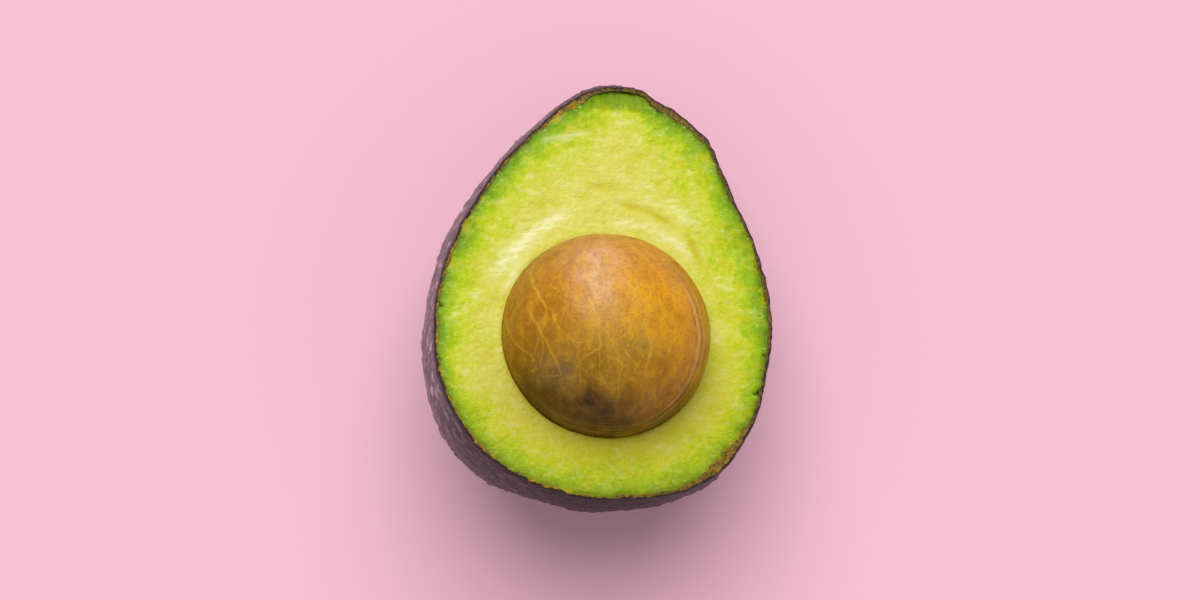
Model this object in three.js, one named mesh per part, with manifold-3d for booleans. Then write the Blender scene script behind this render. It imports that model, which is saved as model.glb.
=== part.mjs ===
import * as THREE from "three";
import { mergeVertices } from "three/addons/utils/BufferGeometryUtils.js";
import Module from "manifold-3d";

// Half an avocado, cut lengthways, lying on its back with the stone still in it.
// Millimetres, +Z up. The origin is under the middle of the object, on the surface that it rests on.
// The fruit is first made in its own frame: the stem axis along Y with the neck at +Y, the cut face up.

// The whole fruit: a sphere whose sections across the stem axis are ellipses.
const fruitLength = 92;
const bellyRadius = 35.7; // radius of the section halfway along
const neckTaper = 9.5; // how much narrower the neck is there, and how much fuller the bottom
const thickness = 0.95; // height of a section as a share of its width
const axisLean = 2.5; // sideways lean of the stem axis towards the neck
const axisBow = 1.5; // sideways bow of the stem axis at both ends

// The stem scar, a shallow dent at the neck's tip.
const scarDepth = 1.6;
const scarSpread = 0.13; // share of the sphere that the dent covers

// The knife cut passes a little above the stem axis, so this is the bigger half.
const cutHeight = 7.5;

// The half leans on its back: its cut face looks a little towards the neck and to the right.
const leanAngle = THREE.MathUtils.degToRad(19);
const leanHeading = THREE.MathUtils.degToRad(45);
const flatDepth = 0.7; // how far the back is pressed flat where it rests

const skinThickness = 1.2;
const gap = 0.3; // clearance between neighbours

// The stone, almost round, its centre just under the cut face.
const stone = {
  radius: new THREE.Vector3(21.9, 21.4, 21.5),
  centre: new THREE.Vector3(-1.8, -10.5, 6.7),
};

const fruitSegments = { around: 44, along: 28 };
const stoneSegments = { around: 32, along: 18 };
const boxSize = 4 * fruitLength; // a cutting block that is bigger than the fruit

const wasm = await Module();
wasm.setup();

// A closed geometry with only shared positions left, which is what a solid needs.
function merged(geometry) {
  geometry.deleteAttribute("normal");
  geometry.deleteAttribute("uv");
  return mergeVertices(geometry, 1e-4);
}

function toSolid(geometry) {
  return new wasm.Manifold(
    new wasm.Mesh({
      numProp: 3,
      vertProperties: new Float32Array(geometry.attributes.position.array),
      triVerts: new Uint32Array(geometry.index.array),
    }),
  );
}

function toGeometry(solid) {
  const mesh = solid.getMesh();
  const geometry = new THREE.BufferGeometry();
  geometry.setAttribute("position", new THREE.BufferAttribute(mesh.vertProperties, 3));
  geometry.setIndex(new THREE.BufferAttribute(mesh.triVerts, 1));
  geometry.computeVertexNormals();
  return geometry;
}

// The fruit's surface point for a point of the unit sphere.
function fruitPoint(p) {
  const along = p.y;
  const radius = bellyRadius - neckTaper * along;
  const bow = axisLean * along + axisBow * (2 * along * along - 1);
  const scar = scarDepth * Math.exp(-(p.x * p.x + p.z * p.z) / (scarSpread * scarSpread));
  return new THREE.Vector3(
    bow + radius * p.x,
    (fruitLength / 2) * along - (along > 0 ? scar : 0),
    thickness * radius * p.z,
  );
}

// The fruit's surface moved inwards by a distance, in the frame of the lying fruit.
function fruitSurface(inset) {
  const sphere = new THREE.SphereGeometry(1, fruitSegments.around, fruitSegments.along);
  const geometry = merged(sphere);
  const position = geometry.attributes.position;
  const point = new THREE.Vector3();
  for (let i = 0; i < position.count; i++) {
    point.fromBufferAttribute(position, i);
    position.setXYZ(i, ...fruitPoint(point));
  }
  geometry.computeVertexNormals();
  const normal = geometry.attributes.normal;
  const outward = new THREE.Vector3();
  for (let i = 0; i < position.count; i++) {
    point.fromBufferAttribute(position, i);
    outward.fromBufferAttribute(normal, i);
    point.addScaledVector(outward, -inset);
    position.setXYZ(i, ...point);
  }
  geometry.deleteAttribute("normal");
  return geometry.applyMatrix4(lean);
}

// Tips the fruit from a level cut face to the way that it lies.
function leanMatrix() {
  const axis = new THREE.Vector3(-Math.sin(leanHeading), Math.cos(leanHeading), 0);
  return new THREE.Matrix4().makeRotationAxis(axis, leanAngle);
}

const lean = leanMatrix();

// Everything above the cut face.
function aboveCut() {
  const block = merged(new THREE.BoxGeometry(boxSize, boxSize, boxSize));
  block.translate(0, 0, cutHeight + boxSize / 2);
  return toSolid(block.applyMatrix4(lean));
}

// Everything below a level plane.
function belowLevel(height) {
  const block = merged(new THREE.BoxGeometry(boxSize, boxSize, boxSize));
  block.translate(0, 0, height - boxSize / 2);
  return toSolid(block);
}

// The stone's solid, grown by a clearance.
function stoneSolid(clearance) {
  const sphere = new THREE.SphereGeometry(1, stoneSegments.around, stoneSegments.along);
  const geometry = merged(sphere);
  const { radius, centre } = stone;
  geometry.scale(radius.x + clearance, radius.y + clearance, radius.z + clearance);
  geometry.translate(centre.x, centre.y, centre.z);
  return toSolid(geometry.applyMatrix4(lean));
}

// The fruit inside a given depth, flattened at its back by as much as the skin is.
function fruitSolid(inset, restHeight) {
  return toSolid(fruitSurface(inset)).subtract(belowLevel(restHeight + inset));
}

const outside = fruitSurface(0);
outside.computeBoundingBox();
const restHeight = outside.boundingBox.min.z + flatDepth;
const cut = aboveCut();

function makeSkin() {
  const hollow = fruitSolid(skinThickness, restHeight);
  return fruitSolid(0, restHeight).subtract(hollow).subtract(cut);
}

function makeFlesh() {
  const solid = fruitSolid(skinThickness + gap, restHeight);
  return solid.subtract(cut).subtract(stoneSolid(gap));
}

function addPiece(group, name, solid, look) {
  const mesh = new THREE.Mesh(toGeometry(solid), new THREE.MeshStandardMaterial(look));
  mesh.name = name;
  group.add(mesh);
}

const avocadoHalf = new THREE.Group();
addPiece(avocadoHalf, "skin", makeSkin(), { color: 0x3c2a2c, roughness: 0.5, metalness: 0 });
addPiece(avocadoHalf, "flesh", makeFlesh(), { color: 0xcfcf57, roughness: 0.45, metalness: 0 });
addPiece(avocadoHalf, "pit", stoneSolid(0), { color: 0xa5701f, roughness: 0.35, metalness: 0 });

// The origin goes under the middle of the whole object.
const bounds = new THREE.Box3().setFromObject(avocadoHalf, true);
const middle = bounds.getCenter(new THREE.Vector3());
avocadoHalf.position.set(-middle.x, -middle.y, -bounds.min.z);

export default avocadoHalf;
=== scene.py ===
import functools
import math
import random

import bmesh
import bpy
from mathutils import Matrix, Vector, kdtree, noise


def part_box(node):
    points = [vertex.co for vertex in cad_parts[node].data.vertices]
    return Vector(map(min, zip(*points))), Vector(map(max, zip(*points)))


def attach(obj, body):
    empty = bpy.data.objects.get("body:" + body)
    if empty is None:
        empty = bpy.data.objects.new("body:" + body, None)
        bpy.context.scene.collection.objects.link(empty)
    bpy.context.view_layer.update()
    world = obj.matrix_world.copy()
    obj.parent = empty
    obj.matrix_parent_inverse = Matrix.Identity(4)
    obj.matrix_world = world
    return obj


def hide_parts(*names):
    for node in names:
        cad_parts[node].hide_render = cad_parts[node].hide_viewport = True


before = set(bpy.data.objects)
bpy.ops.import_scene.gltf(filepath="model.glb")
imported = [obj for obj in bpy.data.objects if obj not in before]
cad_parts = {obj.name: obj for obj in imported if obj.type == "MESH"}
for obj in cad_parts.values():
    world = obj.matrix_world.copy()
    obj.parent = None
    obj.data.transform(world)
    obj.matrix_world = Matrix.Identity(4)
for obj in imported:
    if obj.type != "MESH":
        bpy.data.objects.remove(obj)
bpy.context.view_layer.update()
mm = 0.001
noise.seed_set(4)  # every run gives the same relief

# Half an avocado on its back with the stone still in it. Lengths are in millimetres and turn
# into metres when a mesh is finished. The fruit's own frame has the stem axis along Y, the neck
# at +Y and the cut face up, as in the CAD model.
fruit = {
    "length": 92.0,
    "bellyRadius": 35.7,
    "neckTaper": 9.5,
    "thickness": 0.95,
    "axisLean": 2.5,
    "axisBow": 1.5,
    "scarDepth": 1.6,
    "scarSpread": 0.13,
    "cutHeight": 7.5,
    "leanAngle": 19.0,    # degrees from level
    "leanHeading": 45.0,  # degrees from +X, so towards the neck and the right
    "flatDepth": 0.7,     # how far the back is pressed flat where it rests
    # gentle swells of the real fruit: turn in degrees, spread, drop down the wall, height
    "swells": (
        (273, 6, 0.0, -0.5), (299, 9, 0.0, 0.8), (333, 9, 0.0, -0.8), (72, 7, 0.0, -1.0),
        (46, 8, 0.0, 0.9), (28, 6, 0.0, -0.4), (349, 6, 0.0, 0.35), (4, 10, 0.0, 0.6),
        (88, 6, 0.0, -0.2), (108, 7, 0.0, 0.3), (127, 7, 0.0, -0.3), (232, 13, 0.3, 1.0),
        (255, 12, 0.3, -0.7), (190, 11, 0.3, -0.6), (160, 13, 0.2, 0.35), (174, 20, 0.1, 0.42),
        (297, 9, 0.3, 0.1), (318, 7, 0.3, -0.8),
    ),
    "swellReach": 0.22,   # how far a swell spreads down the wall
}


def smoothStep(low, high, x):
    t = min(max((x - low) / (high - low), 0.0), 1.0)
    return t * t * (3 - 2 * t)


def bell(x, middle, width):
    return math.exp(-((x - middle) / width) ** 2)


def turnBell(turn, degrees, width):
    # a bell round the edge, with its middle at a turn in degrees
    away = (math.degrees(turn) - degrees + 180) % 360 - 180
    return math.exp(-(away / width) ** 2)


def wobble(p, size, seed=0.0):
    # smooth noise from -1 to 1, with features of about that size
    return noise.noise(Vector((p.x / size + seed, p.y / size - seed, p.z / size + 2 * seed)))


# The fruit's form, shared by every piece.

def bodyRadius(along):
    return fruit["bellyRadius"] - fruit["neckTaper"] * along


def fruitPoint(p):
    # the fruit's surface point for a point of the unit sphere
    radius = bodyRadius(p.y)
    bow = fruit["axisLean"] * p.y + fruit["axisBow"] * (2 * p.y * p.y - 1)
    scar = 0.0
    if p.y > 0:
        spread = (p.x * p.x + p.z * p.z) / fruit["scarSpread"] ** 2
        scar = fruit["scarDepth"] * math.exp(-spread)
    return Vector((bow + radius * p.x, fruit["length"] / 2 * p.y - scar,
                   fruit["thickness"] * radius * p.z))


def spherePoint(turn, rise):
    return Vector((math.cos(turn) * math.cos(rise), math.sin(turn) * math.cos(rise),
                   math.sin(rise)))


@functools.lru_cache(maxsize=None)
def cutRise(turn):
    # how far above the sphere's equator the cut runs, at this turn round the half
    rise = 0.2
    for _ in range(8):
        radius = bodyRadius(math.sin(turn) * math.cos(rise))
        rise = math.asin(fruit["cutHeight"] / (fruit["thickness"] * radius))
    return rise


def wallPoint(turn, drop):
    # the smooth outside; drop runs from 0 at the cut edge to 1 at the middle of the back
    top = cutRise(turn)
    return fruitPoint(spherePoint(turn, top - (math.pi / 2 + top) * drop))


def wallNormal(turn, drop):
    step = 0.004
    drop = min(max(drop, step), 1 - step)
    across = wallPoint(turn + step, drop) - wallPoint(turn - step, drop)
    down = wallPoint(turn, drop + step) - wallPoint(turn, drop - step)
    return down.cross(across).normalized()


def swell(turn, drop):
    total = 0.0
    for degrees, width, middle, height in fruit["swells"]:
        total += height * turnBell(turn, degrees, width) * bell(drop, middle, fruit["swellReach"])
    return total


@functools.lru_cache(maxsize=None)
def edgeInward(turn):
    # the way inwards from the cut edge, in the cut face
    step = 0.004
    along = wallPoint(turn + step, 0) - wallPoint(turn - step, 0)
    return Vector((-along.y, along.x, 0)).normalized()


def leanMatrix():
    heading = math.radians(fruit["leanHeading"])
    axis = Vector((-math.sin(heading), math.cos(heading), 0))
    return Matrix.Rotation(math.radians(fruit["leanAngle"]), 3, axis)


lean = leanMatrix()


def placeInFrame():
    # where the fruit's own origin lies, from the box of the CAD skin
    points = [lean @ wallPoint(math.tau * i / 180, d / 60) for i in range(180) for d in range(61)]
    low = Vector([min(p[i] for p in points) for i in range(3)])
    high = Vector([max(p[i] for p in points) for i in range(3)])
    skinLow, skinHigh = (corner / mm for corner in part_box("skin"))
    middle = (skinLow + skinHigh) / 2 - (low + high) / 2
    return Vector((middle.x, middle.y, skinLow.z - low.z - fruit["flatDepth"]))


shift = placeInFrame()
print("the fruit's origin lies at", [round(x, 2) for x in shift], "mm")


def toFrame(p):
    # from the fruit's frame to the row frame, pressed flat where it rests
    q = lean @ p + shift
    q.z = max(q.z, 0.0)
    return q * mm


# Every piece is made of rings of vertices, each pulled from the one before.

def startRing(bm, around, place):
    # a ring of vertices, each with its turn kept, and its edges
    layer = bm.verts.layers.float.new("turn")
    made = bmesh.ops.create_circle(bm, segments=around, radius=1.0, cap_ends=False)
    for v in made["verts"]:
        turn = math.tau * round(math.atan2(v.co.y, v.co.x) / math.tau * around) / around
        v[layer] = turn
        place(v, v[layer])
    return bm.edges[:]


def pullRing(bm, edges, place):
    # extrudes a ring, places its new vertices and returns its new edges
    layer = bm.verts.layers.float["turn"]
    made = bmesh.ops.extrude_edge_only(bm, edges=edges)["geom"]
    fresh = {g for g in made if isinstance(g, bmesh.types.BMVert)}
    for v in fresh:
        place(v, v[layer])
    return [g for g in made if isinstance(g, bmesh.types.BMEdge)
            and g.verts[0] in fresh and g.verts[1] in fresh]


def closeRing(bm, edges, tip):
    made = bmesh.ops.extrude_edge_only(bm, edges=edges)["geom"]
    fresh = [g for g in made if isinstance(g, bmesh.types.BMVert)]
    bmesh.ops.pointmerge(bm, verts=fresh, merge_co=tip)


def toPiece(bm, name):
    bmesh.ops.recalc_face_normals(bm, faces=bm.faces[:])
    for v in bm.verts:
        v.co = toFrame(v.co)
    mesh = bpy.data.meshes.new(name)
    bm.to_mesh(mesh)
    bm.free()
    mesh.shade_smooth()
    piece = bpy.data.objects.new(name, mesh)
    bpy.context.scene.collection.objects.link(piece)
    return piece


# Small helpers for node trees.

def newMaterial(name, **values):
    material = bpy.data.materials.new(name)
    material.use_nodes = True
    shader = material.node_tree.nodes["Principled BSDF"]
    for socket, value in values.items():
        shader.inputs[socket.replace("_", " ")].default_value = value
    return material, material.node_tree, shader


def feed(tree, socket, value):
    # links a socket to another, or sets its value
    if isinstance(value, bpy.types.NodeSocket):
        tree.links.new(value, socket)
    else:
        socket.default_value = value


def add(tree, kind, values=None, **settings):
    # a node with its settings, and its inputs given by name or number
    node = tree.nodes.new(kind)
    for name, value in settings.items():
        setattr(node, name, value)
    for name, value in (values or {}).items():
        feed(tree, node.inputs[name], value)
    return node


def attribute(tree, name, output="Fac"):
    return add(tree, "ShaderNodeAttribute", attribute_name=name).outputs[output]


def coords(tree):
    return add(tree, "ShaderNodeTexCoord").outputs["Object"]


def stretched(tree, vector, scale, turn=(0, 0, 0)):
    return add(tree, "ShaderNodeMapping", {"Vector": vector, "Scale": scale,
                                           "Rotation": turn}).outputs["Vector"]


def plus(tree, a, b, clamp=False):
    return add(tree, "ShaderNodeMath", {0: a, 1: b}, operation="ADD",
               use_clamp=clamp).outputs[0]


def times(tree, a, b, clamp=False):
    return add(tree, "ShaderNodeMath", {0: a, 1: b}, operation="MULTIPLY",
               use_clamp=clamp).outputs[0]


def remap(tree, value, low, high, toLow=0.0, toHigh=1.0):
    return add(tree, "ShaderNodeMapRange", {"Value": value, "From Min": low, "From Max": high,
                                            "To Min": toLow, "To Max": toHigh}).outputs["Result"]


def spread(tree, mask, least, most):
    # a mask from 0 to 1 brought between two strengths
    return remap(tree, mask, 0, 1, least, most)


def mix(tree, share, a, b):
    node = add(tree, "ShaderNodeMix", {0: share}, data_type="RGBA")
    for socket, color in ((node.inputs[6], a), (node.inputs[7], b)):
        feed(tree, socket, (*color, 1) if isinstance(color, tuple) else color)
    return node.outputs[2]


def tinted(tree, mask, most, base, color):
    # a colour laid over another where the mask is, up to a highest strength
    return mix(tree, spread(tree, mask, 0, most), base, color)


def ramp(tree, value, stops):
    node = add(tree, "ShaderNodeValToRGB", {"Fac": value})
    elements = node.color_ramp.elements
    while len(elements) < len(stops):
        elements.new(1.0)
    for element, (place, color) in zip(elements, stops):
        element.position = place
        element.color = (*color, 1)
    return node.outputs["Color"]


def bumps(tree, shader, heights):
    # bump nodes in a row, each with its height and its depth in metres
    normal = None
    for height, depth in heights:
        node = add(tree, "ShaderNodeBump", {"Height": height, "Distance": depth})
        if normal is not None:
            tree.links.new(normal, node.inputs["Normal"])
        normal = node.outputs["Normal"]
    tree.links.new(normal, shader.inputs["Normal"])


def speckleGroup():
    # noise of one size, cut to a mask: used for mottles, grain and spots on every piece
    group = bpy.data.node_groups.new("speckle", "ShaderNodeTree")
    for name, kind, value in (("Vector", "NodeSocketVector", None),
                              ("Size", "NodeSocketFloat", 0.002),  # metres
                              ("Detail", "NodeSocketFloat", 3.0),
                              ("Low", "NodeSocketFloat", 0.4),
                              ("High", "NodeSocketFloat", 0.6)):
        socket = group.interface.new_socket(name, in_out="INPUT", socket_type=kind)
        if value is not None:
            socket.default_value = value
    group.interface.new_socket("Mask", in_out="OUTPUT", socket_type="NodeSocketFloat")
    given = add(group, "NodeGroupInput").outputs
    scale = add(group, "ShaderNodeMath", {0: 1.0, 1: given["Size"]}, operation="DIVIDE")
    pattern = add(group, "ShaderNodeTexNoise", {"Vector": given["Vector"],
                                                "Scale": scale.outputs[0],
                                                "Detail": given["Detail"]})
    mask = add(group, "ShaderNodeMapRange", {"Value": pattern.outputs["Fac"],
                                             "From Min": given["Low"],
                                             "From Max": given["High"]},
               interpolation_type="SMOOTHSTEP")
    add(group, "NodeGroupOutput", {"Mask": mask.outputs["Result"]})
    return group


speckles = speckleGroup()


def speckle(tree, vector, size, low=0.4, high=0.6, detail=3.0):
    return add(tree, "ShaderNodeGroup", {"Vector": vector, "Size": size, "Detail": detail,
                                         "Low": low, "High": high},
               node_tree=speckles).outputs["Mask"]


skin = {
    "around": 600,
    "rings": 136,
    "thickness": 1.2,
    "rimWidth": 1.0,  # how broad the skin shows in the cut
    # the rim's rings: share of the way in, height over the cut
    "rimRings": ((0.06, 0.05), (0.16, 0.08), (0.3, 0.04), (0.45, 0.0), (0.6, -0.02),
                 (0.75, -0.04), (0.88, -0.08), (1.0, -0.25)),
    "liningRings": (0.02, 0.06, 0.14, 0.3, 0.5, 0.7, 0.88),  # drop down the wall
    # where the skin shows broader in the cut: turn, spread, extra
    "rimBands": ((113, 8, 1.0), (62, 13, 0.8), (304, 10, 1.6), (352, 12, 0.2)),
    # where its inner side is bright ochre: turn, spread, strength
    "goldBands": ((118, 10, 1.0), (150, 18, 0.7), (205, 40, 1.0), (255, 22, 0.8), (308, 14, 0.4),
                  (62, 12, 0.3), (0, 25, 0.15)),
    # a painted lilac sheen under the edge, standing in for the pink floor's reflection, and where
    # the skin is dull with painted shade: turn, spread, strength
    "sheenBands": ((176, 28, 1.0), (208, 16, 0.8), (132, 20, 0.7)),
    "dullShadeBands": ((268, 34, 1.0), (325, 20, 0.6)),
    # drops down the wall between which the painted sheen and the dull, shaded skin fade out
    "sheenFade": (0.10, 0.40),
    "dullShadeFade": (0.14, 0.36),
    "edgeBlackDrop": 0.024,  # how far down the near-black strip under the edge reaches
    "lumpSize": 7.5,
    "lumpHeight": 0.36,
    "pebbleSize": 3.4,
    "pebbleHeight": 0.85,
    "wrinkleSize": 1.3,
    "wrinkleHeight": 0.07,
    "stemSpread": 0.085,  # the stem scar, as a share of the fruit's sphere
    "stemRidge": 0.35,    # height of the ring round the scar
    "valleyColors": ((0.010, 0.005, 0.004), (0.014, 0.008, 0.008)),
    "topColors": ((0.040, 0.023, 0.018), (0.060, 0.036, 0.038)),
    # the painted sheen: lilac colours standing in for the pink floor's reflection under the edge
    "sheenColor": (0.640, 0.450, 0.505),
    "sheenValleyColor": (0.070, 0.042, 0.044),
    "sheenWrinkleColor": (0.045, 0.024, 0.028),
    # painted shade on the dull skin low down
    "bottomShadeColor": (0.022, 0.012, 0.008),
    "edgeBlackColor": (0.008, 0.004, 0.003),
    "spotColor": (0.30, 0.19, 0.07),
    "corkColors": ((0.060, 0.034, 0.018), (0.190, 0.120, 0.060)),
    # the cut edge from its outer line inwards
    "rimColors": ((0.0, (0.020, 0.011, 0.009)), (0.12, (0.008, 0.004, 0.003)),
                  (0.30, (0.014, 0.008, 0.003)), (0.46, (0.085, 0.048, 0.003)),
                  (1.0, (0.115, 0.078, 0.004))),
    "ochreColor": (0.40, 0.225, 0.003),
    "speckColor": (0.024, 0.014, 0.003),
    "oliveColor": (0.085, 0.110, 0.002),
}


@functools.lru_cache(maxsize=None)
def rimWidth(turn):
    # the cut edge is broader where the knife ran slantwise through the skin
    edge = wallPoint(turn, 0)
    ragged = 0.34 * wobble(edge, 3.2, 4.0) + 0.26 * wobble(edge, 1.1, 9.0)
    wide = sum(extra * turnBell(turn, degrees, width)
               for degrees, width, extra in skin["rimBands"])
    return max(skin["rimWidth"] + wide + ragged * (1 + 0.6 * wide), 0.6)


@functools.lru_cache(maxsize=None)
def aroundEdge(name, turn):
    # how strong one of the lists of bands is at this turn, up to 1
    return min(sum(strength * turnBell(turn, degrees, width)
                   for degrees, width, strength in skin[name]), 1.0)


def fadeOut(name, drop):
    near, far = skin[name]
    return smoothStep(far, near, drop)


def lump(p):
    return skin["lumpHeight"] * (wobble(p, skin["lumpSize"], 2.0)
                                 + 0.5 * wobble(p, skin["lumpSize"] / 2.2, 5.0))


@functools.lru_cache(maxsize=None)
def edgePoint(turn):
    # the outline of the cut, without its pebbles
    p = wallPoint(turn, 0)
    return p - edgeInward(turn) * (swell(turn, 0) + lump(p))


def dome(p, size):
    # a rounded bump in each cell, 1 at its top and 0 in the creases between cells
    near = noise.voronoi(Vector((p.x, p.y, 1.6 * p.z)) / size)[0]
    return smoothStep(0.0, 0.9, near[1] - near[0]) * (1 - 0.45 * min(near[0], 1.0) ** 2)


def pebble(p):
    # packed low bumps of two sizes, from 0 in the valleys to 1 on the tops
    size = skin["pebbleSize"]
    sway = noise.noise_vector(p / size) * 1.3
    return 0.68 * dome(p + sway, size) + 0.32 * dome(p - sway, size / 2)


def stemScar(turn, drop):
    # how far a place on the wall is from the middle of the stem scar; 1 is the scar's own edge
    top = cutRise(turn)
    p = spherePoint(turn, top - (math.pi / 2 + top) * drop)
    away = math.hypot(p.x, p.z) / skin["stemSpread"] if p.y > 0 else 9.0
    return min(away + 0.25 * noise.noise(p * 22), 9.0)


def makeSkin():
    bm = bmesh.new()
    topLayer = bm.verts.layers.float.new("pebble")
    outLayer = bm.verts.layers.float.new("rimOut")  # mm in from the outer edge of the cut
    inLayer = bm.verts.layers.float.new("rimIn")    # mm left to its inner edge
    scarLayer = bm.verts.layers.float.new("scar")
    goldLayer = bm.verts.layers.float.new("gold")
    edgeBlackLayer = bm.verts.layers.float.new("edgeBlack")    # the near-black strip under the edge
    # painted sheen of the floor's reflection
    sheenLayer = bm.verts.layers.float.new("paintedSheen")
    # painted shade where the skin is dull
    dullShadeLayer = bm.verts.layers.float.new("dullAndShade")

    def onWall(drop):
        def place(v, turn):
            p = wallPoint(turn, drop)
            top = pebble(p)
            uneven = 0.8 + 0.6 * wobble(p, 5.0, 8.0)
            uneven *= 0.7 + 0.3 * smoothStep(0.1, 0.3, drop)  # lower pebbles by the edge
            wrinkle = wobble(Vector((p.x, p.y * 0.45, p.z)), skin["wrinkleSize"], 3.0)
            fine = (skin["pebbleHeight"] * uneven * (top - 0.4)
                    + skin["wrinkleHeight"] * wrinkle)
            stem = stemScar(turn, drop)
            fine *= 1 - 0.7 * bell(stem, 0, 1.0)
            fine += skin["stemRidge"] * bell(stem, 1.1, 0.35)
            v[scarLayer] = smoothStep(1.5, 0.9, stem)
            if drop > 0:
                v.co = p + wallNormal(turn, drop) * (swell(turn, drop) + lump(p) + fine)
            else:
                v.co = edgePoint(turn) - edgeInward(turn) * fine
            v[topLayer] = top + 0.25 * wrinkle
            ragged = drop + 0.12 * wobble(p, 6.0, 31.0) + 0.05 * wobble(p, 2.2, 35.0)
            edgeBlack = 0.3 + 0.7 * aroundEdge("goldBands", turn)
            v[edgeBlackLayer] = edgeBlack * smoothStep(skin["edgeBlackDrop"], skin["edgeBlackDrop"] / 8, drop)
            # the painted sheen under the left edge, standing in for the floor's reflection
            v[sheenLayer] = aroundEdge("sheenBands", turn) * fadeOut("sheenFade", ragged)
            # painted shade low on the dull side
            v[dullShadeLayer] = aroundEdge("dullShadeBands", turn) * fadeOut("dullShadeFade", ragged)
            v[outLayer] = 0.0
            v[inLayer] = 1.0
        return place

    def onRim(share, rise):
        def place(v, turn):
            outer = outline[turn]
            inner = edgePoint(turn) + edgeInward(turn) * rimWidth(turn)
            p = outer.lerp(inner, share)
            grain = 0.11 * wobble(p, 0.45, 6.0) + 0.12 * wobble(p, 1.2, 7.0)
            p.z = fruit["cutHeight"] + rise + grain * min(share * 3, 1)
            v.co = p
            v[outLayer] = (inner - outer).length * share
            v[inLayer] = (inner - outer).length * (1 - share)
            v[topLayer] = 0.5
            v[goldLayer] = aroundEdge("goldBands", turn)
        return place

    def onLining(drop):
        def place(v, turn):
            rim = rimWidth(turn)
            depth = rim + (skin["thickness"] - rim) * smoothStep(0, 0.1, drop)
            v.co = wallPoint(turn, drop) + wallNormal(turn, drop) * (swell(turn, drop) - depth)
            v[outLayer] = rim
            v[inLayer] = 0.0
        return place

    edge = startRing(bm, skin["around"], onWall(0))
    turnLayer = bm.verts.layers.float["turn"]
    outline = {v[turnLayer]: v.co.copy() for v in bm.verts}
    ring = edge
    for i in range(1, skin["rings"]):
        ring = pullRing(bm, ring, onWall(i / skin["rings"]))
    closeRing(bm, ring, wallPoint(0, 1))
    ring = edge
    for share, rise in skin["rimRings"]:
        ring = pullRing(bm, ring, onRim(share, rise))
    for drop in skin["liningRings"]:
        ring = pullRing(bm, ring, onLining(drop))
    closeRing(bm, ring, wallPoint(0, 1) + Vector((0, 0, skin["thickness"])))
    return toPiece(bm, "skin_shell")


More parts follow.
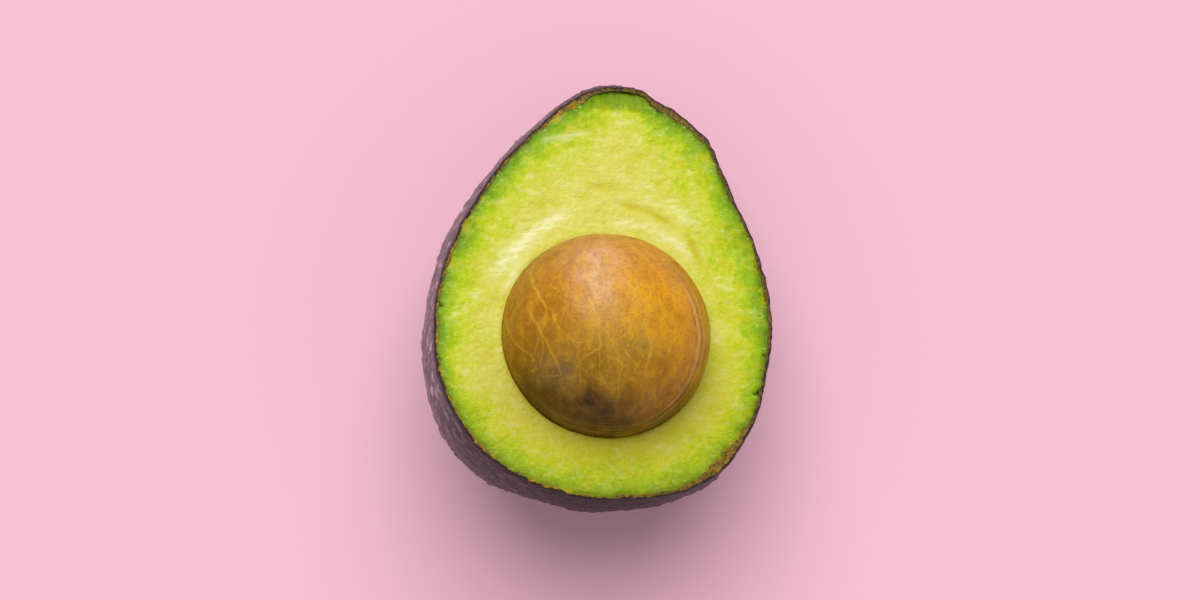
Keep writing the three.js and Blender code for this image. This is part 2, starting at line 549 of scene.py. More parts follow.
def skinMaterial():
    material, tree, shader = newMaterial("avocadoSkin", Specular_IOR_Level=0.5,
                                         Coat_Roughness=0.24)
    place = coords(tree)
    names = ("pebble", "paintedSheen", "dullAndShade", "edgeBlack", "gold")
    pebbles, paintedSheen, dullAndShade, edgeBlack, ochreShare = (attribute(tree, name) for name in names)
    mottle = speckle(tree, place, 0.008, 0.35, 0.65)
    grain = speckle(tree, place, 0.0007, 0.3, 0.7)
    valley = mix(tree, mottle, *skin["valleyColors"])
    # the painted sheen lifts the colour to lilac, standing in for the floor's reflection
    valley = tinted(tree, paintedSheen, 0.5, valley, skin["sheenValleyColor"])
    top = mix(tree, mottle, *skin["topColors"])
    top = tinted(tree, paintedSheen, 0.9, top, skin["sheenColor"])
    # painted shade darkens the tops on the dull side
    top = tinted(tree, dullAndShade, 0.7, top, skin["bottomShadeColor"])
    # the pebbles' tops are coloured lighter than their valleys, more so in the painted sheen
    topAndSheenShare = plus(tree, remap(tree, pebbles, 0.05, 0.8, 0.0, 0.85),
                spread(tree, grain, -0.2, 0.2), clamp=True)
    topAndSheenShare = plus(tree, topAndSheenShare, spread(tree, paintedSheen, 0, 0.14), clamp=True)
    rind = mix(tree, topAndSheenShare, valley, top)
    # fine dark wrinkles in the painted sheen, along the fruit
    wrinkles = speckle(tree, stretched(tree, place, (1.8, 0.4, 1.0)), 0.0011, 0.5, 0.62)
    rind = mix(tree, times(tree, wrinkles, spread(tree, paintedSheen, 0, 0.62)), rind,
               skin["sheenWrinkleColor"])
    rind = tinted(tree, edgeBlack, 0.9, rind, skin["edgeBlackColor"])
    spots = speckle(tree, place, 0.0022, 0.72, 0.78, 1.0)
    rind = tinted(tree, spots, 0.75, rind, skin["spotColor"])
    cork = mix(tree, grain, *skin["corkColors"])
    rind = mix(tree, attribute(tree, "scar"), rind, cork)

    # the cut edge: a black outer line, then granular brown and ochre, olive against the flesh
    rimOut, rimIn = attribute(tree, "rimOut"), attribute(tree, "rimIn")
    rag = speckle(tree, place, 0.0011, 0.3, 0.7)
    shifted = plus(tree, rimOut, spread(tree, rag, -0.2, 0.2))
    shifted = plus(tree, shifted, spread(tree, ochreShare, 0.16, -0.04))
    band = ramp(tree, remap(tree, shifted, 0.0, 1.2), skin["rimColors"])
    grains = plus(tree, spread(tree, speckle(tree, place, 0.0009, 0.4, 0.6), 0.0, 0.45),
                  spread(tree, ochreShare, 0, 0.55))
    gold = times(tree, remap(tree, shifted, 0.3, 0.5), grains)
    gold = times(tree, gold, spread(tree, ochreShare, 0.45, 1.2), clamp=True)
    gold = times(tree, gold, spread(tree, speckle(tree, place, 0.0026, 0.32, 0.6), 0.25, 1.0))
    band = mix(tree, gold, band, skin["ochreColor"])
    specks = times(tree, speckle(tree, place, 0.0006, 0.48, 0.64),
                   spread(tree, ochreShare, 0.85, 0.45))
    band = mix(tree, specks, band, skin["speckColor"])
    band = mix(tree, remap(tree, rimIn, 0.0, 0.3, 0.6, 0.0), band, skin["oliveColor"])
    onRim = remap(tree, rimOut, 0.01, 0.08)
    tree.links.new(mix(tree, onRim, rind, band), shader.inputs["Base Color"])

    # waxy tops, duller valleys and a dull cut
    gloss = times(tree, remap(tree, pebbles, 0.1, 0.8, 0.15, 1.0), spread(tree, onRim, 1, 0))
    gloss = times(tree, gloss, spread(tree, dullAndShade, 1.0, 0.05))
    gloss = times(tree, gloss, spread(tree, edgeBlack, 1.0, 0.0))
    tree.links.new(gloss, shader.inputs["Coat Weight"])
    rough = plus(tree, spread(tree, grain, 0.34, 0.52), spread(tree, onRim, 0, 0.4))
    rough = plus(tree, rough, spread(tree, dullAndShade, 0, 0.2))
    tree.links.new(rough, shader.inputs["Roughness"])
    pores = speckle(tree, place, 0.0003, 0.3, 0.7)
    bumps(tree, shader, ((grain, 0.00010), (pores, 0.00004)))
    return material


stone = {
    "around": 480,
    "domeRings": 156,
    "hiddenRings": 24,
    "domeSpread": 104.0,  # degrees from its top that get the fine rings
    "radius": Vector((21.9, 21.4, 21.5)),
    "centre": Vector((-1.8, -10.5, 6.7)),
    "dimple": 0.12,
    "seamAxis": (0.02, 0.03),  # as seen from above, in shares of the stone's radius
    "seamSpread": 61.0,        # degrees from the seam's axis
    # the seam's ridge and grooves: height, degrees past the seam, spread
    "seamRidges": ((0.15, 0, 1.5), (-0.13, 3.8, 1.4), (0.08, 6.8, 1.3), (-0.06, 9.6, 1.3),
                   (-0.05, -4.0, 1.8)),
    # its lines, the two pale ones painted highlights along its ridges: colour, strength, how much
    # weaker at the low end, degrees past it, spread
    "seamHighlightsAndLines": (((0.64, 0.42, 0.18), 0.75, 0.5, 0.4, 1.7),
                  ((0.50, 0.31, 0.06), 0.5, 0.3, 6.6, 1.1),
                  ((0.20, 0.090, 0.004), 0.6, 0.0, 3.5, 0.9),
                  ((0.24, 0.090, 0.004), 0.5, 0.0, -2.6, 1.0)),
    "coatColor": (0.40, 0.19, 0.008),
    "pastSeamColors": ((0.40, 0.22, 0.004), (0.105, 0.058, 0.001)),  # and at the low end
    "arcColor": (0.028, 0.015, 0.009),  # dark arcs round the low end
    "darkMottle": (0.16, 0.050, 0.002),
    "brightMottle": (0.68, 0.35, 0.012),
    "hazeColor": (0.50, 0.32, 0.06),
    "fleckColor": (0.26, 0.085, 0.020),
    "veinColor": (0.72, 0.43, 0.030),
    "veinHeight": 0.08,
    "fineVeins": 150,
    # veins as seen from above, in shares of the stone's radius: strength, width in mm, points
    "veins": (
        (1.0, 0.26, ((-0.70, 0.62), (-0.65, 0.48), (-0.60, 0.39), (-0.53, 0.27), (-0.55, 0.16),
                     (-0.57, 0.05), (-0.57, -0.12), (-0.60, -0.26))),
        (1.0, 0.26, ((-0.72, 0.30), (-0.65, 0.16), (-0.58, 0.04), (-0.51, -0.08), (-0.44, -0.22),
                     (-0.40, -0.34))),
        (0.9, 0.22, ((-0.52, 0.34), (-0.48, 0.21), (-0.42, 0.09), (-0.36, 0.02))),
        (0.6, 0.17, ((-0.57, 0.05), (-0.63, -0.06), (-0.66, -0.20), (-0.72, -0.34))),
        (0.7, 0.20, ((-0.20, 0.48), (-0.12, 0.33), (-0.06, 0.19), (-0.04, 0.05), (-0.05, -0.10),
                     (-0.04, -0.24), (-0.03, -0.42))),
        (0.6, 0.20, ((-0.50, 0.50), (-0.40, 0.42), (-0.28, 0.38), (-0.17, 0.30), (-0.07, 0.20))),
        (0.9, 0.22, ((-0.90, 0.06), (-0.84, -0.05), (-0.77, -0.11), (-0.68, -0.17),
                     (-0.60, -0.28))),
        (0.5, 0.20, ((0.00, 0.08), (0.08, -0.04), (0.12, -0.16), (0.16, -0.27), (0.20, -0.36))),
        (0.5, 0.20, ((0.18, -0.10), (0.24, -0.19), (0.30, -0.26), (0.36, -0.16), (0.42, -0.04))),
        (0.5, 0.20, ((-0.06, -0.10), (-0.16, -0.16), (-0.23, -0.26), (-0.23, -0.40),
                     (-0.18, -0.56))),
        (0.5, 0.20, ((0.15, -0.28), (0.13, -0.42), (0.14, -0.60))),
        (0.5, 0.20, ((0.42, -0.14), (0.38, -0.28), (0.36, -0.42))),
        (0.4, 0.20, ((-0.41, 0.09), (-0.33, 0.00), (-0.23, -0.05), (-0.12, -0.03), (-0.05, 0.03))),
        (0.4, 0.20, ((-0.34, 0.22), (-0.24, 0.12), (-0.14, 0.10), (-0.05, 0.13))),
    ),
    # patches of colour as seen from above, one of them a painted highlight near the top: place,
    # reach across and along, strength, colour
    "patches": (
        ((-0.52, 0.20), (0.48, 0.62), 0.80, (0.34, 0.138, 0.001)),
        ((-0.30, 0.52), (0.26, 0.22), 0.55, (0.46, 0.175, 0.012)),
        ((0.22, 0.70), (0.36, 0.20), 0.55, (0.56, 0.235, 0.020)),
        ((0.50, 0.28), (0.44, 0.50), 0.85, (0.70, 0.315, 0.004)),
        ((0.05, 0.92), (0.60, 0.22), 0.60, (0.48, 0.22, 0.030)),
        ((0.62, 0.66), (0.26, 0.18), 0.60, (0.38, 0.140, 0.015)),
        ((-0.22, 0.80), (0.22, 0.16), 0.50, (0.38, 0.170, 0.070)),
        # a painted highlight where the key light glints near the top
        ((-0.06, 0.60), (0.22, 0.28), 0.80, (0.68, 0.42, 0.230)),
        ((0.20, -0.08), (0.36, 0.24), 0.70, (0.31, 0.185, 0.030)),
        ((0.35, -0.19), (0.08, 0.10), 0.55, (0.18, 0.115, 0.004)),
        ((-0.60, -0.54), (0.38, 0.40), 0.90, (0.070, 0.037, 0.001)),
        ((-0.40, -0.32), (0.18, 0.16), 0.65, (0.200, 0.135, 0.050)),
        ((-0.08, -0.36), (0.16, 0.26), 0.60, (0.190, 0.105, 0.002)),
        ((0.50, -0.55), (0.24, 0.26), 0.60, (0.30, 0.110, 0.012)),
        ((-0.05, -0.66), (0.36, 0.20), 0.93, (0.024, 0.015, 0.012)),
        ((0.00, -0.84), (0.46, 0.12), 0.70, (0.034, 0.018, 0.007)),
    ),
}


def seenFromAbove(u, v):
    # the direction from the stone's middle of a spot as seen from straight above
    return lean.transposed() @ Vector((u, v, math.sqrt(max(1 - u * u - v * v, 0.0))))


seamAxis = seenFromAbove(*stone["seamAxis"])


def stoneShape(direction, extra=0.0):
    # a point at some height over the smooth stone
    r = stone["radius"] + Vector((extra, extra, extra))
    return stone["centre"] + Vector((r.x * direction.x, r.y * direction.y, r.z * direction.z))


def seamPlace(direction, p):
    # degrees past the seam, and how strong the seam is on this side
    seen = lean @ direction
    sway = 3.4 * wobble(p, 13.0, 3.0) + 1.2 * wobble(p, 4.0, 5.0)
    past = math.degrees(seamAxis.angle(direction)) - stone["seamSpread"] + sway
    bearing = math.atan2(seen.y, seen.x)
    side = 0.05 + 0.95 * smoothStep(-0.3, 0.5, math.cos(bearing + 0.75))
    return past, side * min(max(0.85 + 0.9 * wobble(p, 7.0, 8.0), 0.15), 1.0)


def stoneRelief(direction, p):
    past, side = seamPlace(direction, p)
    ridge = sum(height * bell(past, at, width) for height, at, width in stone["seamRidges"])
    form = stone["dimple"] * wobble(p, 8.0, 1.0) + 0.05 * wobble(p, 2.6, 2.0)
    return form + ridge * side


def stonePoint(direction, extra=0.0):
    p = stoneShape(direction)
    return stoneShape(direction, stoneRelief(direction, p) + extra)


def wander(rng, u, v, heading, length, step=0.04):
    # the points of a fine vein that wanders over the stone
    points = [(u, v)]
    while length > 0 and u * u + v * v < 0.94:
        heading += rng.uniform(-0.45, 0.45)
        u, v = u + step * math.cos(heading), v + step * math.sin(heading)
        points.append((u, v))
        length -= step
    return points


def veinTree():
    # points along every vein, close together, with their strengths and widths
    rng = random.Random(5)
    lines = list(stone["veins"])
    for _ in range(stone["fineVeins"]):
        u, v = rng.uniform(-0.95, 0.85), rng.uniform(-0.7, 0.85)
        heading = rng.gauss(-math.pi / 2, 0.6)
        points = wander(rng, u, v, heading, rng.uniform(0.12, 0.5))
        fade = 1.0 if u < 0.05 else 0.6
        lines.append((rng.uniform(0.14, 0.5) * fade, rng.uniform(0.12, 0.18), points))
    spots = []
    for strength, width, points in lines:
        for k, ((u0, v0), (u1, v1)) in enumerate(zip(points, points[1:])):
            steps = max(int(math.hypot(u1 - u0, v1 - v0) * stone["radius"].x / 0.12), 1)
            for i in range(steps):
                t = i / steps
                u, v = u0 + (u1 - u0) * t, v0 + (v1 - v0) * t
                if u * u + v * v > 0.97:
                    continue
                p = stoneShape(seenFromAbove(u, v))
                sway = noise.noise_vector(p / 1.6) * 0.34
                thinned = ((k + t) / (len(points) - 1)) ** 2
                patchy = strength * (1 - 0.5 * thinned) * (0.75 + 0.6 * wobble(p, 3.0, 30.0))
                spots.append((p + sway, patchy, width * (1 - 0.35 * thinned)))
    tree = kdtree.KDTree(len(spots))
    for i, (p, _, _) in enumerate(spots):
        tree.insert(p, i)
    tree.balance()
    return tree, spots


def stoneColor(direction, p):
    seen = lean @ direction
    color = Vector(stone["coatColor"])
    sway = 0.13 * Vector((wobble(p, 3.5, 9.0), wobble(p, 3.5, 12.0)))
    if seen.z > -0.2:
        for (u, v), (across, along), strength, patch in stone["patches"]:
            away = ((seen.x - u + sway.x) / across) ** 2 + ((seen.y - v + sway.y) / along) ** 2
            color = color.lerp(Vector(patch), strength * math.exp(-away))
    past, side = seamPlace(direction, p)
    low = smoothStep(-0.2, -0.75, seen.y)
    high, dark = (Vector(c) for c in stone["pastSeamColors"])
    color = color.lerp(high.lerp(dark, low), 0.75 * smoothStep(2.0, 5.0, past) * side)
    # the pale lines are painted highlights along the seam's ridges
    for line, strength, weaker, at, width in stone["seamHighlightsAndLines"]:
        color = color.lerp(Vector(line), (strength - weaker * low) * side * bell(past, at, width))
    arcs = 0.5 + 0.5 * math.sin(past * 1.9 + 1.2 * wobble(p, 4.0, 33.0))
    return color.lerp(Vector(stone["arcColor"]), 0.6 * low * arcs * bell(past, 1.0, 8.0))


def makeStone():
    tree, spots = veinTree()
    bm = bmesh.new()
    veinLayer = bm.verts.layers.float.new("vein")
    coatAndHighlightLayer = bm.verts.layers.float_color.new("coatAndHighlights")

    def onStone(polar):
        def place(v, turn):
            direction = spherePoint(turn, math.pi / 2 - polar)
            p = stoneShape(direction)
            vein = 0.0
            for _, i, gap in tree.find_n(p, 3):
                vein = max(vein, spots[i][1] * math.exp(-(gap / spots[i][2]) ** 2))
            v.co = stonePoint(direction, stone["veinHeight"] * vein)
            v[veinLayer] = vein
            # the coat's colour, with painted highlights near the top and along the seam
            v[coatAndHighlightLayer] = (*stoneColor(direction, p), 1.0)
        return place

    dome = math.radians(stone["domeSpread"])
    polars = [dome * (i + 1) / stone["domeRings"] for i in range(stone["domeRings"])]
    rest = (math.pi - dome) / (stone["hiddenRings"] + 1)
    polars += [dome + rest * (i + 1) for i in range(stone["hiddenRings"])]
    first = startRing(bm, stone["around"], onStone(polars[0]))
    ring = first
    for polar in polars[1:]:
        ring = pullRing(bm, ring, onStone(polar))
    closeRing(bm, ring, stonePoint(Vector((0, 0, -1))))
    closeRing(bm, first, stonePoint(Vector((0, 0, 1))))
    return toPiece(bm, "pit_stone")


def stoneMaterial():
    material, tree, shader = newMaterial("avocadoStone", Specular_IOR_Level=0.12)
    place = coords(tree)
    coatAndHighlights, paleness = attribute(tree, "coatAndHighlights", "Color"), attribute(tree, "coatAndHighlights")
    streak = stretched(tree, place, (1.0, 0.45, 0.7))
    dark = speckle(tree, streak, 0.0030, 0.45, 0.7)
    tint = tinted(tree, dark, 0.3, coatAndHighlights, stone["darkMottle"])
    bright = times(tree, speckle(tree, streak, 0.0016, 0.45, 0.66),
                   remap(tree, paleness, 0.03, 0.20))
    tint = tinted(tree, bright, 0.36, tint, stone["brightMottle"])
    tint = tinted(tree, speckle(tree, place, 0.006, 0.42, 0.68, 2.0), 0.14, tint,
                  stone["hazeColor"])
    fleck = speckle(tree, place, 0.0007, 0.48, 0.66)
    tint = tinted(tree, fleck, 0.3, tint, stone["fleckColor"])
    veins = times(tree, attribute(tree, "vein"), remap(tree, paleness, 0.02, 0.15, 0.2, 0.85))
    tint = mix(tree, veins, tint, stone["veinColor"])
    tree.links.new(tint, shader.inputs["Base Color"])
    tree.links.new(spread(tree, dark, 0.34, 0.46), shader.inputs["Roughness"])
    bumps(tree, shader, ((bright, 0.00005), (fleck, 0.00003)))
    return material


flesh = {
    "around": 600,
    "hiddenRings": 8,
    "faceRings": 116,
    "cavityRings": 12,
    "pitGap": 0.03,
    "tuck": 0.15,    # how far the flesh runs in under the skin's inner edge
    "gape": 0.22,    # how much wider the crevice round the stone is at the lower left
    "gapeTurn": (228, 34),  # the turn and the spread of that
    "lipHeight": 0.14,  # the swollen lip round the stone
    "edgeDrop": 0.12,
    "scrapeDepth": 0.2,
    "waveHeight": 0.22,
    "strokeHeight": 0.055,
    "crumbHeight": 0.055,
    "raggedHeight": 0.07,
    "greenWidth": 5.0,  # how far in from the skin the green reaches
    # where it reaches further: turn, spread, extra
    "greenBands": ((20, 45, 2.2), (272, 26, 2.8), (125, 18, 1.4), (215, 22, -1.2), (55, 11, 1.4)),
    "neckHollow": {"place": (3.2, 41.2), "reach": (7.6, 2.5), "bend": 0.03, "depth": 0.9},
    # cuts into the edge: place, heading of the cut in degrees, length, depth
    "nicks": (
        ((-35.6, 10.4), -8, 2.0, 0.9), ((-37.2, -4.6), -5, 2.6, 0.9),
        ((-37.4, -16.0), 10, 1.6, 0.7), ((32.8, 5.2), 178, 2.8, 1.1),
        ((33.6, -2.2), 160, 1.6, 0.6), ((30.2, -22.0), 200, 1.6, 0.7),
        ((-13.6, 36.8), -70, 1.2, 0.5), ((32.0, -14.0), 175, 1.2, 0.5),
    ),
    # pale smears and darker scrapes in the face: from, to, width, strength
    "smears": (((-25.0, 2.5), (-17.0, 10.5), 1.7, 1.0), ((-17.5, 10.5), (-9.5, 15.5), 1.3, 0.9),
               ((-23.0, -2.0), (-20.0, 4.0), 1.0, 0.5), ((-14.0, 31.0), (-4.0, 33.5), 0.8, 0.5),
               ((0.0, 14.0), (9.0, 13.2), 0.9, 0.6), ((9.5, 13.0), (17.5, 7.0), 1.0, 0.6),
               ((-20.0, -20.0), (-13.0, -28.0), 1.6, 0.5), ((12.0, 19.0), (20.0, 13.0), 1.2, 0.4)),
    "scrapes": (((1.5, 18.2), (8.5, 16.6), 0.8, 0.9), ((8.5, 16.4), (13.5, 13.6), 0.9, 1.0),
                ((16.6, 11.2), (19.6, 5.0), 0.9, 1.0), ((-19.0, 15.5), (-12.0, 18.0), 1.0, 0.4),
                ((-5.0, 22.0), (3.0, 21.0), 0.9, 0.5), ((21.0, -4.0), (20.0, -12.0), 0.8, 0.4),
                ((-28.5, 6.0), (-29.5, -1.0), 1.1, 0.5), ((-2.0, 30.0), (7.0, 29.0), 0.9, 0.3)),
    # the colour by depth under the skin
    "depthColors": ((0.0, (0.085, 0.165, 0.001)), (0.04, (0.13, 0.25, 0.001)),
                    (0.14, (0.22, 0.38, 0.001)), (0.30, (0.36, 0.475, 0.002)),
                    (0.48, (0.48, 0.53, 0.020)), (1.0, (0.575, 0.555, 0.090))),
    "yellowMottle": (0.49, 0.45, 0.003),
    "paleMottle": (0.67, 0.66, 0.26),
    "fleckColor": (0.64, 0.72, 0.16),
    "smearColor": (0.80, 0.78, 0.46),
    "scrapeColor": (0.47, 0.41, 0.002),
    "underColor": (0.36, 0.285, 0.004),  # painted shadow of the stone on the flesh below it
    "creviceColor": (0.55, 0.44, 0.03),
    # painted shade: dark green in the neck hollow
    "hollowShadeColor": (0.15, 0.24, 0.001),
    # painted shade in the nicks
    "nickShadeColor": (0.035, 0.040, 0.002),
}


def alongLine(p, start, end):
    # how far a point lies from a stretch of line, and its share along it
    a, b = Vector(start), Vector(end)
    q = Vector((p.x, p.y))
    t = min(max((q - a).dot(b - a) / (b - a).length_squared, 0.0), 1.0)
    return (q - a.lerp(b, t)).length, t


@functools.lru_cache(maxsize=None)
def fleshEdge(turn):
    return edgePoint(turn) + edgeInward(turn) * (rimWidth(turn) - flesh["tuck"])


@functools.lru_cache(maxsize=None)
def mouthDirection(turn):
    # the way from the stone's middle to where its surface comes out of the cut face
    reach = fleshEdge(turn) - stone["centre"]
    heading = math.atan2(reach.y / stone["radius"].y, reach.x / stone["radius"].x)
    rise = 0.04
    for _ in range(3):
        direction = spherePoint(heading, rise)
        height = stoneRelief(direction, stoneShape(direction))
        rise = math.asin((fruit["cutHeight"] - stone["centre"].z) / (stone["radius"].z + height))
    return heading, rise


def mouthPoint(turn):
    heading, rise = mouthDirection(turn)
    gape = flesh["gape"] * turnBell(heading, *flesh["gapeTurn"])
    return stonePoint(spherePoint(heading, rise), flesh["pitGap"] + gape)


def nickDepth(p):
    deepest = 0.0
    for place, degrees, length, depth in flesh["nicks"]:
        heading = math.radians(degrees)
        way = Vector((math.cos(heading), math.sin(heading)))
        away = Vector((p.x, p.y)) - Vector(place)
        along = away.dot(way) + 0.6
        side = abs(away.x * way.y - away.y * way.x + 0.35 * wobble(p, 1.3, 21.0))
        if -1.5 < along < length:
            gape = 0.14 + 0.24 * (1 - max(along, 0) / length)
            deepest = max(deepest, depth * math.exp(-(side / gape) ** 2)
                          * smoothStep(length, length * 0.5, along))
    return deepest


def streaks(p, lines):
    total = 0.0
    for start, end, width, strength in lines:
        gap, t = alongLine(p, start, end)
        fade = math.sin(math.pi * (0.12 + 0.76 * t))
        total += strength * fade * math.exp(-(gap / width) ** 2)
    return min(total, 1.0)


def neckHollow(p):
    hollow = flesh["neckHollow"]
    middle, reach = hollow["place"], hollow["reach"]
    across = p.x - middle[0]
    along = p.y - middle[1] + hollow["bend"] * across * across
    away = (across / reach[0]) ** 2 + (along / reach[1]) ** 2
    return smoothStep(1.7, 0.1, away + 0.5 * wobble(p, 1.8, 19.0) + 0.3 * wobble(p, 0.7, 20.0))


@functools.lru_cache(maxsize=None)
def greenWidth(turn):
    bands = flesh["greenBands"]
    return flesh["greenWidth"] + sum(extra * turnBell(turn, degrees, width)
                                     for degrees, width, extra in bands)


def makeFlesh():
    bm = bmesh.new()
    names = ("fromSkin", "fromPit", "under", "nickShade", "hollow", "smear", "scrape")
    layers = {name: bm.verts.layers.float.new(name) for name in names}

    def onFace(share):
        def place(v, turn):
            edge, mouth = fleshEdge(turn), mouthPoint(turn)
            p = edge.lerp(mouth, share)
            rim = (p - edge).length - flesh["tuck"]
            fromPit = (p - mouth).length
            neckward = smoothStep(2, 24, p.y)
            stroke = Vector((p.x * 0.22, p.y, 0))
            strokes = wobble(stroke, 1.0, 5.0) + 0.6 * wobble(stroke, 0.42, 7.0)
            crumbs = wobble(p, 1.5, 11.0) + 0.7 * wobble(p, 0.65, 13.0)
            ragged = wobble(p, 0.8, 15.0) + 0.5 * wobble(p, 2.0, 17.0)
            neck, nick = neckHollow(p), nickDepth(p)
            scrape = streaks(p, flesh["scrapes"])
            torn = smoothStep(-0.35, 0.3, wobble(p, 9.0, 40.0))
            heading, _ = mouthDirection(turn)
            below = smoothStep(0.1, -0.7, math.sin(heading))
            height = (flesh["waveHeight"] * wobble(p, 13.0, 3.0)
                      + flesh["strokeHeight"] * strokes * (0.3 + 0.7 * neckward) * (0.4 + torn)
                      + flesh["crumbHeight"] * crumbs * (0.3 + torn)
                      + flesh["raggedHeight"] * (smoothStep(4.5, 0.5, rim) * ragged)
                      - flesh["edgeDrop"] * smoothStep(0.7, 0.0, rim)
                      + flesh["lipHeight"] * bell(fromPit, 0.9, 0.8)
                      - flesh["lipHeight"] * smoothStep(0.3, 0.0, fromPit) * below
                      - flesh["neckHollow"]["depth"] * neck - nick
                      - flesh["scrapeDepth"] * scrape)
            v.co = Vector((p.x, p.y, fruit["cutHeight"] + height))
            v[layers["fromSkin"]] = rim / greenWidth(turn)
            v[layers["fromPit"]] = fromPit
            # painted shadow of the stone on the flesh below it
            v[layers["under"]] = below * math.exp(-fromPit / 9)
            # painted shade in the nicks, darker the deeper the cut
            v[layers["nickShade"]] = min(nick * 1.5, 1.0)
            # painted shade in the neck hollow
            v[layers["hollow"]] = neck
            v[layers["smear"]] = streaks(p, flesh["smears"])
            v[layers["scrape"]] = scrape
        return place

    def onHidden(drop):
        def place(v, turn):
            inset = swell(turn, drop) - skin["thickness"]
            v.co = wallPoint(turn, drop) + wallNormal(turn, drop) * inset
            v[layers["fromSkin"]] = 0.0
            v[layers["fromPit"]] = 30.0
        return place

    def onCavity(share):
        def place(v, turn):
            heading, rise = mouthDirection(turn)
            v.co = stonePoint(spherePoint(heading, rise - (math.pi / 2 + rise) * share),
                              flesh["pitGap"])
            v[layers["fromSkin"]] = 1.0
            v[layers["fromPit"]] = 0.0
        return place

    edge = startRing(bm, flesh["around"], onFace(0.0))
    ring = edge
    for i in range(1, flesh["faceRings"] + 1):
        ring = pullRing(bm, ring, onFace(i / flesh["faceRings"]))
    for i in range(1, flesh["cavityRings"] + 1):
        ring = pullRing(bm, ring, onCavity(max((i / (flesh["cavityRings"] + 1)) ** 1.4, 0.03)))
    closeRing(bm, ring, stonePoint(Vector((0, 0, -1)), flesh["pitGap"]))
    ring = edge
    for i in range(flesh["hiddenRings"]):
        ring = pullRing(bm, ring, onHidden((i + 0.25) / flesh["hiddenRings"]))
    closeRing(bm, ring, wallPoint(0, 1) + Vector((0, 0, skin["thickness"])))
    return toPiece(bm, "flesh_body")


def fleshMaterial():
    material, tree, shader = newMaterial("avocadoFlesh", Specular_IOR_Level=0.12,
                                         Subsurface_Weight=0.12, Subsurface_Scale=0.002)
    place = coords(tree)
    across = stretched(tree, place, (0.6, 1.0, 1.0))  # drawn out across the fruit by the knife
    # the green fades out unevenly, but its outer edge is crisp
    drift = speckle(tree, place, 0.005, 0.25, 0.75, 2.0)
    rag = speckle(tree, place, 0.0012, 0.25, 0.75)
    depth = times(tree, attribute(tree, "fromSkin"), spread(tree, drift, 0.65, 1.35))
    depth = times(tree, depth, spread(tree, rag, 0.7, 1.3))
    tint = ramp(tree, remap(tree, depth, 0, 2.2), flesh["depthColors"])
    yellow = times(tree, speckle(tree, across, 0.0026, 0.46, 0.66),
                   speckle(tree, place, 0.012, 0.35, 0.6))
    tint = tinted(tree, yellow, 0.5, tint, flesh["yellowMottle"])
    pale = times(tree, speckle(tree, across, 0.0019, 0.5, 0.74),
                 remap(tree, depth, 0.25, 1.1, 0.1, 0.5))
    tint = mix(tree, pale, tint, flesh["paleMottle"])
    fleck = speckle(tree, across, 0.0007, 0.58, 0.72)
    tint = tinted(tree, fleck, 0.32, tint, flesh["fleckColor"])
    drawn = stretched(tree, place, (0.8, 2.6, 1.0), (0, 0, math.radians(-30)))
    smear = times(tree, attribute(tree, "smear"),
                  spread(tree, speckle(tree, drawn, 0.0026, 0.35, 0.62), 0.35, 1.0))
    tint = tinted(tree, smear, 0.95, tint, flesh["smearColor"])
    tint = tinted(tree, attribute(tree, "scrape"), 0.9, tint, flesh["scrapeColor"])
    # the stone's painted shadow on the flesh below it
    tint = tinted(tree, attribute(tree, "under"), 0.75, tint, flesh["underColor"])
    tint = mix(tree, remap(tree, attribute(tree, "fromPit"), 0.0, 0.5, 0.3, 0.0), tint,
               flesh["creviceColor"])
    # painted shade in the neck hollow
    hollow = times(tree, attribute(tree, "hollow"), spread(tree, rag, 0.55, 1.0))
    tint = tinted(tree, hollow, 0.9, tint, flesh["hollowShadeColor"])
    # painted shade in the nicks
    tint = mix(tree, attribute(tree, "nickShade"), tint, flesh["nickShadeColor"])
    tree.links.new(tint, shader.inputs["Base Color"])
    wet = speckle(tree, place, 0.003, 0.35, 0.65)
    tree.links.new(spread(tree, wet, 0.28, 0.5), shader.inputs["Roughness"])
    fine = speckle(tree, across, 0.0005, 0.2, 0.8)
    bumps(tree, shader, ((rag, 0.00009), (fine, 0.00005)))
    return material


def finishPiece(piece, node, material):
    piece.data.materials.append(material)
    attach(piece, "root")
    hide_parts(node)
    print(piece.name, "has", sum(len(p.vertices) - 2 for p in piece.data.polygons), "triangles")


finishPiece(makeSkin(), "skin", skinMaterial())
finishPiece(makeFlesh(), "flesh", fleshMaterial())
finishPiece(makeStone(), "pit", stoneMaterial())

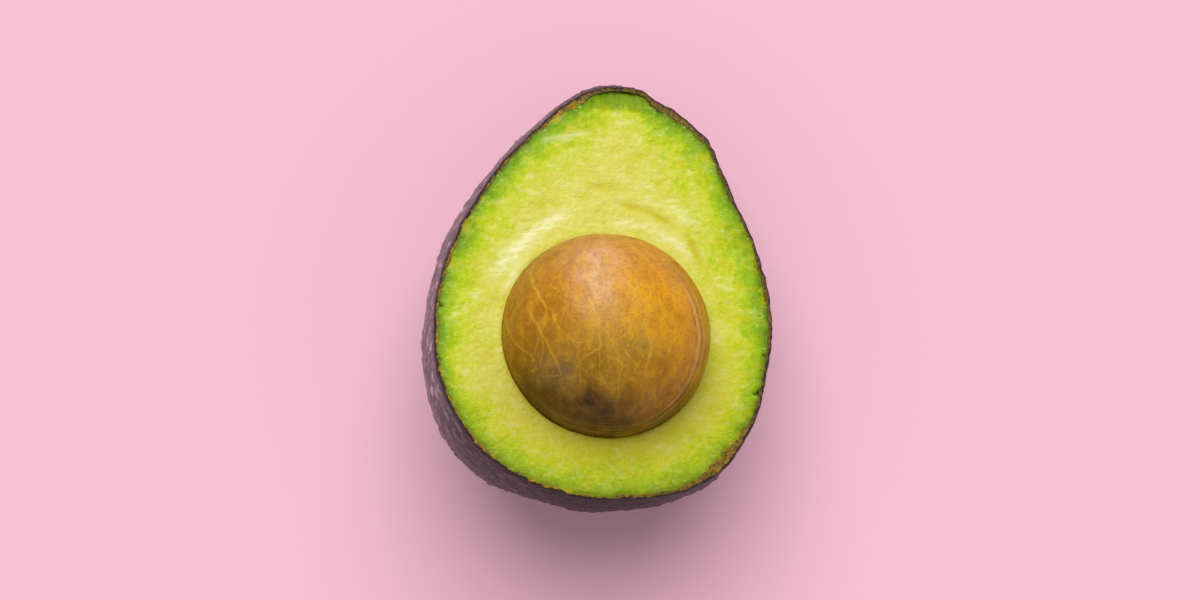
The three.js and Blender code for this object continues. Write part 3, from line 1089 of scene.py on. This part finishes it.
studio = {
    "floorSize": 3.0,  # metres
    "floorColor": (0.815, 0.46, 0.565),
    "keyStrength": 2.95,
    "keyAngle": 54.0,
    "keyFrom": Vector((0.0, 0.66, 0.84)),
    "fillColor": (1.0, 0.97, 0.98),
    "fillStrength": 0.445,
    "lens": 85.0,
    "sensor": 36.0,
    "cameraRise": 590.0,            # over the middle of the cut face
    "cameraAside": (-2.65, -2.73),  # so that the half stands a little off the middle
}


def makeFloor():
    bm = bmesh.new()
    bmesh.ops.create_grid(bm, x_segments=1, y_segments=1, size=studio["floorSize"] / 2)
    mesh = bpy.data.meshes.new("floor")
    bm.to_mesh(mesh)
    bm.free()
    floor = bpy.data.objects.new("floor", mesh)
    bpy.context.scene.collection.objects.link(floor)
    paper, _, _ = newMaterial("paper", Base_Color=(*studio["floorColor"], 1), Roughness=0.9,
                              Specular_IOR_Level=0.2)
    floor.data.materials.append(paper)


def makeLight():
    lamp = bpy.data.lights.new("key", "SUN")
    lamp.energy = studio["keyStrength"]
    lamp.angle = math.radians(studio["keyAngle"])
    key = bpy.data.objects.new("key", lamp)
    key.rotation_euler = (-studio["keyFrom"]).to_track_quat("-Z", "Y").to_euler()
    bpy.context.scene.collection.objects.link(key)
    world = bpy.data.worlds.new("studio")
    world.use_nodes = True
    fill = world.node_tree.nodes["Background"].inputs
    fill["Color"].default_value = (*studio["fillColor"], 1)
    fill["Strength"].default_value = studio["fillStrength"]
    bpy.context.scene.world = world


def makeCamera():
    # straight above, a little aside of the middle of the cut face
    data = bpy.data.cameras.new("camera")
    data.lens = studio["lens"]
    data.sensor_width = studio["sensor"]
    camera = bpy.data.objects.new("camera", data)
    middle = lean @ Vector((0, 0, fruit["cutHeight"])) + shift
    camera.location = (middle + Vector((*studio["cameraAside"], studio["cameraRise"]))) * mm
    bpy.context.scene.collection.objects.link(camera)
    bpy.context.scene.camera = camera


makeFloor()
makeLight()
makeCamera()
bpy.context.scene.view_settings.view_transform = "Standard"
print("floor, light and camera are set")
